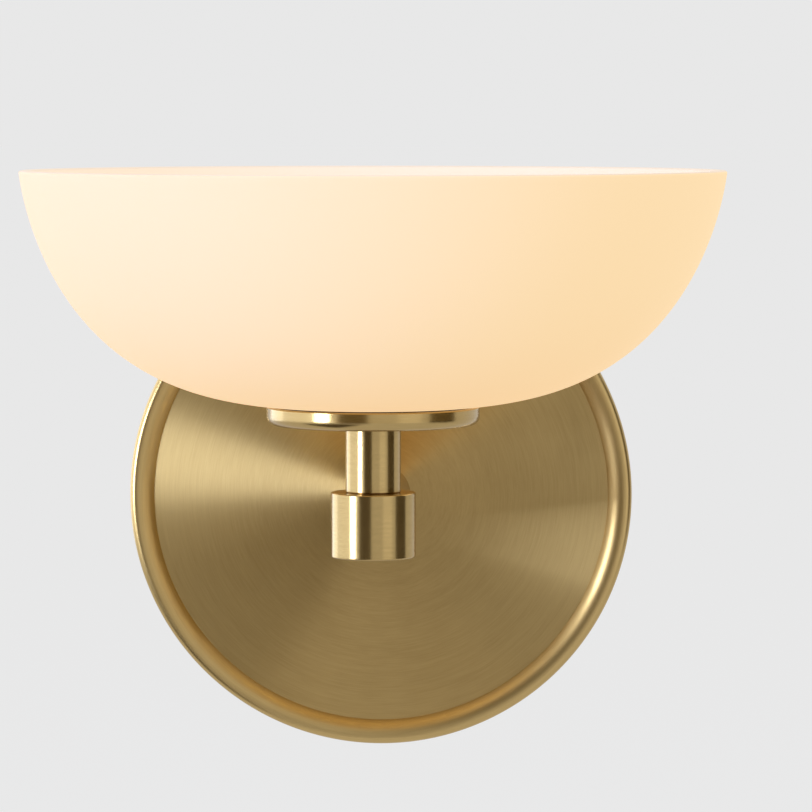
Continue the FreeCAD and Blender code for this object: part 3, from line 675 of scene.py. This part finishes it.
class SCONCE_OT_brass(bpy.types.Operator):
    """Finish the brass pieces with turned brush marks"""

    bl_idname = "sconce.brass"
    bl_label = "Brass Pieces"

    def execute(self, context):
        finish = context.scene.sconce_finish
        light, deep = tuple(finish.brass), tuple(finish.brass_deep)
        for node in ("collar", "stem_sleeve", "fitter_cup"):
            finish_node(node, brushed_metal(node.replace("_", " ") + " brass", light, deep,
                                            node_middle(node), fineness=5000.0, length=5.0,
                                            roughness=0.22, aniso=0.6, bite=0.18))
        finish_node("arm_sleeve", brushed_metal("arm brass", light, deep,
                                                node_middle("arm_sleeve"), lying=True,
                                                fineness=5000.0, length=5.0, roughness=0.22,
                                                aniso=0.6, bite=0.18))
        finish_node("arm_nut", brushed_metal("arm nut brass", light, deep,
                                             node_middle("arm_nut"), lying=True,
                                             fineness=6000.0, roughness=0.3, aniso=0.2,
                                             shade=1.15))
        for node in ("stem_nut", "shade_ring"):
            finish_node(node, brushed_metal(node.replace("_", " ") + " brass", light, deep,
                                            node_middle(node), fineness=6000.0, roughness=0.28,
                                            aniso=0.3, shade=1.15))
        finish_node("screw_bosses", plain_stuff("brazed brass", light, 0.75, metallic=1.0,
                                                roughness=0.42))
        return {"FINISHED"}


class SCONCE_OT_threads(bpy.types.Operator):
    """Cut the screw threads of both lamp pipes and of the sleeve that carries the ring nut"""

    bl_idname = "sconce.threads"
    bl_label = "Screw Threads"

    def execute(self, context):
        threads = context.scene.sconce_threads
        finish, shade = context.scene.sconce_finish, 1.15
        light = tuple(c * shade for c in finish.brass)
        deep = tuple(c * shade for c in finish.brass_deep)
        for node, lying in (("arm_pipe", True), ("stem_pipe", False)):
            low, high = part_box(node)
            crest = (high[0] - low[0]) / 2
            start, end = (-high[1], -low[1]) if lying else (low[2], high[2])
            points = threaded_points(start, end, crest, crest - threads.pipe_wall,
                                     threads.pipe_pitch)
            if lying:
                points = along_arm(points)
            else:
                points[..., :2] += BOWL_AXIS
            material = brushed_metal(node.replace("_", " ") + " brass", light, deep,
                                     node_middle(node), lying=lying, fineness=6000.0,
                                     roughness=0.3, aniso=0.0)
            add_grid(node + "_threaded", points, "fixture", node, material)
        material = brushed_metal("sleeve brass", light, deep, node_middle("fitter_sleeve"),
                                 fineness=6000.0, roughness=0.28, aniso=0.0)
        add_grid("sleeve_threaded", sleeve_points(threads), "fixture", "fitter_sleeve", material)
        return {"FINISHED"}


def sleeve_points(threads):
    """Sleeve in the cup: a flat flanged foot, a screw thread from there to the top, and a plain
    bore."""
    low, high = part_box("fitter_sleeve")
    foot, segments, chamfer = (high[0] - low[0]) / 2, 96, 0.3 * MM
    crest, foot_top = foot - threads.foot_spread, low[2] + threads.foot_height
    points = threaded_points(foot_top, high[2], crest, crest - threads.sleeve_wall,
                             threads.sleeve_pitch, segments)
    points[-1, :, 2] = low[2]
    flange = turned_points(np.array([(foot, low[2]), (foot, foot_top - chamfer),
                                     (foot - chamfer, foot_top)]), segments, 0.0, 0.0)
    points = np.concatenate([flange, points])
    points[..., :2] += BOWL_AXIS
    return points


class SCONCE_OT_caps(bpy.types.Operator):
    """Mould the ribbed twist-on caps over the leads' ends"""

    bl_idname = "sconce.caps"
    bl_label = "Twist-on Caps"

    def execute(self, context):
        threads = context.scene.sconce_threads
        for node, colour in (("live_cap", (0.62, 0.40, 0.07)), ("neutral_cap", (0.62, 0.40, 0.07)),
                             ("ground_cap", (0.05, 0.28, 0.09))):
            material = plain_stuff(node.replace("_", " "), colour, 0.85, roughness=0.45, bite=0.35)
            add_grid(node + "_ribbed", cap_points(node, threads), "fixture", node, material)
        return {"FINISHED"}


def cap_points(node, threads):
    """Ribbed cap, mouth up: an outside that widens from tip to mouth, its radius less a groove
    depth of (1 - cos(ribs * t)) / 2 that fades out at both ends, then the bore down to the wire
    and its closed end. Heights along the cap are shares of its length."""
    low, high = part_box(node)
    mouth, length = (high[0] - low[0]) / 2, high[2] - low[2]
    bore, hole = threads.cap_bore, threads.cap_hole
    tip_round, mouth_chamfer, segments = 1.5 * MM, 0.6 * MM, 140
    ribs_start, ribs_end, bore_end, cone_end, hole_end = 0.06, 0.80, 0.6, 0.5, 0.22
    share = np.linspace(0, 1, 40)[:, None]
    turn = np.linspace(0, 2 * np.pi, segments, endpoint=False)[None, :]
    radius = threads.cap_tip + (mouth - threads.cap_tip) * share
    fade = np.clip((share - ribs_start) / 0.1, 0, 1) * np.clip((ribs_end - share) / 0.06, 0, 1)
    groove = threads.cap_rib_depth * fade * (1 - np.cos(threads.cap_ribs * turn)) / 2
    under_round = np.clip(tip_round - share * length, 0, tip_round)
    sunk = tip_round - np.sqrt(tip_round ** 2 - under_round ** 2)
    outside = radius - sunk - groove
    inner = ((bore + mouth_chamfer, 1.0), (bore, 0.97), (bore, bore_end), (hole, cone_end),
             (hole, hole_end), (AXIS_GAP, hole_end))
    tail = np.array([[r] for r, _ in inner]) + 0 * turn
    closing = np.full((1, segments), AXIS_GAP)
    radii = np.concatenate([closing, outside, tail])
    heights = np.concatenate([[[0.0]], share, [[h] for _, h in inner]]) * length + low[2]
    points = np.stack([radii * np.cos(turn), radii * np.sin(turn), heights + 0 * turn], axis=-1)
    points[..., :2] += node_middle(node)[:2]
    return points


class SCONCE_OT_fittings(bpy.types.Operator):
    """Finish the bracket, screws, lampholder, lamp and wiring"""

    bl_idname = "sconce.fittings"
    bl_label = "Fittings"

    def execute(self, context):
        zinc = plain_stuff("zinc plate", (0.56, 0.58, 0.60), 0.78, metallic=1.0, roughness=0.36,
                           spread=0.2, cloud=260.0)
        for node in ("mounting_bracket", "arm_lock_washer", "stem_lock_washer", "holder_bracket",
                     "holder_screws"):
            finish_node(node, zinc)
        finish_node("ground_screw", plain_stuff("green passivate", (0.10, 0.34, 0.13), 0.7,
                                                metallic=1.0, roughness=0.35))
        finish_node("side_screws", plain_stuff("black oxide", (0.10, 0.09, 0.08), 0.7,
                                               metallic=1.0, roughness=0.45))
        tinned = plain_stuff("tinned copper", (0.70, 0.67, 0.63), 0.8, metallic=1.0,
                             roughness=0.3, cloud=400.0)
        for node in ("ground_terminal", "lampholder_contacts", "lamp_pins"):
            finish_node(node, tinned)
        rubber = plain_stuff("black rubber", (0.035, 0.034, 0.033), 0.75, roughness=0.7, bite=0.4)
        finish_node("lower_gasket", rubber)
        finish_node("pipe_bushing", plain_stuff("black nylon", (0.03, 0.03, 0.03), 0.8,
                                                roughness=0.4))
        finish_node("upper_washer", plain_stuff("silicone washer", (0.78, 0.75, 0.68), 0.9,
                                                roughness=0.55))
        ceramic = plain_stuff("glazed ceramic", (0.80, 0.77, 0.71), 0.92, roughness=0.22,
                              spread=0.08, coat=0.4, cloud=180.0)
        for node in ("lampholder", "lamp_base"):
            finish_node(node, ceramic)
        finish_node("lamp_bulb", frosted_lamp())
        for node, colour in (("live_lead", (0.03, 0.03, 0.03)), ("neutral_lead", (0.8, 0.8, 0.77)),
                             ("ground_lead", (0.06, 0.30, 0.09))):
            finish_node(node, plain_stuff(node.replace("_", " "), colour, 0.88, roughness=0.5,
                                          speckle=1800.0))
        return {"FINISHED"}


# ---- studio -----------------------------------------------------------------------------------

def background_rays(nodes):
    """1 for rays that should see the plain background: camera, glossy and transmission."""
    rays = nodes.add("ShaderNodeLightPath").outputs
    seen = nodes.maths("MAXIMUM", rays["Is Camera Ray"], rays["Is Glossy Ray"])
    return nodes.maths("MAXIMUM", seen, rays["Is Transmission Ray"])


def set_world(pale, fill):
    """World that shows plain and pale and lights softly."""
    world = bpy.data.worlds.new("studio")
    world.use_nodes = True
    nodes = Nodes(world.node_tree)
    sky = next(n for n in world.node_tree.nodes if n.type == "BACKGROUND")
    strength = nodes.span(background_rays(nodes), 0.0, 1.0, fill, pale)
    sky.inputs["Color"].default_value = (1, 1, 1, 1)
    world.node_tree.links.new(strength, sky.inputs["Strength"])
    bpy.context.scene.world = world


def add_floor(pale, fill, drop):
    """Wide pale floor that matches the background and keeps the object's shadow."""
    half = 40.0
    corners = [(-half, -half, -drop), (half, -half, -drop), (half, half, -drop),
               (-half, half, -drop)]
    mesh = bpy.data.meshes.new("studio_floor")
    mesh.from_pydata(corners, [], [[0, 1, 2, 3]])
    floor = bpy.data.objects.new("studio_floor", mesh)
    bpy.context.scene.collection.objects.link(floor)
    material, nodes, shader = new_material("studio floor")
    albedo, bounce = 0.16, 0.1
    shader.inputs["Base Color"].default_value = (albedo, albedo, albedo, 1)
    shader.inputs["Roughness"].default_value = 1.0
    shader.inputs["Specular IOR Level"].default_value = 0.0
    shader.inputs["Emission Color"].default_value = (1, 1, 1, 1)
    strength = nodes.span(background_rays(nodes), 0.0, 1.0, bounce, pale - albedo * fill)
    link(nodes, shader, Emission_Strength=strength)
    mesh.materials.append(material)


def around(azimuth, elevation, distance):
    """Place at a distance from the lamps' aim. Both angles are in degrees: azimuth is seen from
    above, 0 towards the camera and positive to the right, and elevation is above level."""
    turn, rise = math.radians(azimuth), math.radians(elevation)
    way = np.array([math.sin(turn) * math.cos(rise), -math.cos(turn) * math.cos(rise),
                    math.sin(rise)])
    return LAMP_AIM + way * distance


def add_panel_lamp(name, azimuth, elevation, distance, size, radiance, tint=(1, 1, 1),
                   soft=True, gloss=True):
    """Softbox that faces the lamps' aim, with a power of radiance * pi * area. With soft off it
    lights no matt surface, and with gloss off no reflection shows it."""
    data = bpy.data.lights.new(name, "AREA")
    data.shape = "RECTANGLE"
    data.size, data.size_y = size
    data.energy = radiance * math.pi * data.size * data.size_y
    data.color = tint
    lamp = bpy.data.objects.new(name, data)
    lamp.location = around(azimuth, elevation, distance)
    lamp.rotation_euler = (math.radians(90 - elevation), 0, math.radians(azimuth))
    lamp.visible_diffuse = soft
    lamp.visible_glossy = gloss
    bpy.context.scene.collection.objects.link(lamp)


def add_bowl_glow(radiance):
    """Disc under the bowl that shines down as its foot does, seen only in reflections."""
    data = bpy.data.lights.new("bowl glow", "AREA")
    data.shape = "DISK"
    data.size = 0.7 * (GLASS_HIGH[0] - GLASS_LOW[0])
    data.energy = radiance * math.pi * (math.pi * data.size ** 2 / 4)
    data.color = (1.0, 0.76, 0.28)
    lamp = bpy.data.objects.new("bowl glow", data)
    lamp.location = (*BOWL_AXIS, GLASS_LOW[2] + 1 * MM)
    lamp.visible_camera = False
    lamp.visible_diffuse = False
    bpy.context.scene.collection.objects.link(lamp)


def upright_card(azimuth, elevation, distance, width, height):
    """Corners of an upright card, square to the way to the lamps' aim as seen from above."""
    turn = math.radians(azimuth)
    side = np.array([math.cos(turn), math.sin(turn), 0.0]) * width / 2
    middle = around(azimuth, elevation, distance)
    up = np.array([0, 0, height / 2])
    return [middle - side - up, middle + side - up, middle + side + up, middle - side + up]


def add_flag(name, corners):
    """Dark card, faintly warm, that only reflections see."""
    mesh = bpy.data.meshes.new(name)
    mesh.from_pydata(np.array(corners).tolist(), [], [[0, 1, 2, 3]])
    flag = bpy.data.objects.new(name, mesh)
    bpy.context.scene.collection.objects.link(flag)
    flag.visible_camera = False
    flag.visible_diffuse = False
    flag.visible_shadow = False
    flag.visible_transmission = False
    material, _, shader = new_material(name)
    shader.inputs["Base Color"].default_value = (0.02, 0.02, 0.02, 1)
    shader.inputs["Roughness"].default_value = 1.0
    shader.inputs["Specular IOR Level"].default_value = 0.0
    shader.inputs["Emission Color"].default_value = (1.0, 0.72, 0.28, 1)
    shader.inputs["Emission Strength"].default_value = 0.08
    mesh.materials.append(material)


def set_camera(studio):
    """Camera at the photograph's viewing angle."""
    data = bpy.data.cameras.new("camera")
    data.lens = studio.lens
    camera = bpy.data.objects.new("camera", data)
    camera.location = studio.eye
    camera.rotation_euler = (math.pi / 2 - studio.look_down, 0, studio.look_left)
    bpy.context.scene.collection.objects.link(camera)
    bpy.context.scene.camera = camera


class SCONCE_OT_stage(bpy.types.Operator):
    """Set the camera, the soft lamps, the background and the floor"""

    bl_idname = "sconce.stage"
    bl_label = "Studio"

    def execute(self, context):
        studio = context.scene.sconce_studio
        set_camera(studio)
        context.scene.view_settings.view_transform = "Standard"
        set_world(studio.pale, studio.fill)
        add_floor(studio.pale, studio.fill, studio.floor_drop)
        cool = tuple(studio.cool)
        add_panel_lamp("soft left", -45, 12, 1.2, (0.5, 0.6), 4.6, tuple(studio.sky), gloss=False)
        add_panel_lamp("key", -54, 3, 1.1, (0.30, 0.33), 20.0, cool, soft=False)
        add_panel_lamp("left side", -90, 4, 1.1, (0.95, 0.9), 1.0, cool, soft=False)
        add_panel_lamp("rear left", -127, 5, 1.1, (0.6, 0.8), 1.8, cool, soft=False)
        add_panel_lamp("right front", 40, 4, 1.1, (0.5, 0.7), 0.3, soft=False)
        add_panel_lamp("top", 20, 75, 1.2, (0.9, 0.9), 0.6, gloss=False)
        add_bowl_glow(studio.under_glow)
        add_flag("card_left", upright_card(-20, 2, 1.0, 0.56, 1.0))
        add_flag("card_right", upright_card(80, 2, 1.0, 0.62, 1.0))
        left, right, front, back, low = -0.60, -0.12, -0.65, -0.16, 0.01 - studio.floor_drop
        add_flag("card_low", [(left, front, low), (right, front, low), (right, back, low),
                              (left, back, low)])
        return {"FINISHED"}


class SCONCE_PT_panel(bpy.types.Panel):
    """Lists the steps that dress the sconce"""

    bl_idname = "SCONCE_PT_panel"
    bl_label = "Uplighter Sconce"
    bl_space_type = "VIEW_3D"
    bl_region_type = "UI"
    bl_category = "Sconce"

    def draw(self, context):
        for step in STEPS:
            self.layout.operator(step.bl_idname)


STEPS = (SCONCE_OT_groups, SCONCE_OT_bowl, SCONCE_OT_plate, SCONCE_OT_brass, SCONCE_OT_threads,
         SCONCE_OT_caps, SCONCE_OT_fittings, SCONCE_OT_stage)
SETTINGS = {"sconce_bowl": SconceBowl, "sconce_plate": SconcePlate,
            "sconce_threads": SconceThreads, "sconce_finish": SconceFinish,
            "sconce_studio": SconceStudio}


def register():
    """Register the classes and hang the settings on the scene."""
    for settings in SETTINGS.values():
        bpy.utils.register_class(settings)
    for step in STEPS:
        bpy.utils.register_class(step)
    bpy.utils.register_class(SCONCE_PT_panel)
    for name, settings in SETTINGS.items():
        setattr(bpy.types.Scene, name, bpy.props.PointerProperty(type=settings))


def unregister():
    """Undo register."""
    for name in SETTINGS:
        delattr(bpy.types.Scene, name)
    bpy.utils.unregister_class(SCONCE_PT_panel)
    for step in reversed(STEPS):
        bpy.utils.unregister_class(step)
    for settings in reversed(SETTINGS.values()):
        bpy.utils.unregister_class(settings)


def main():
    register()
    for step in STEPS:
        group, name = step.bl_idname.split(".")
        getattr(getattr(bpy.ops, group), name)()


if __name__ == "__main__":
    main()
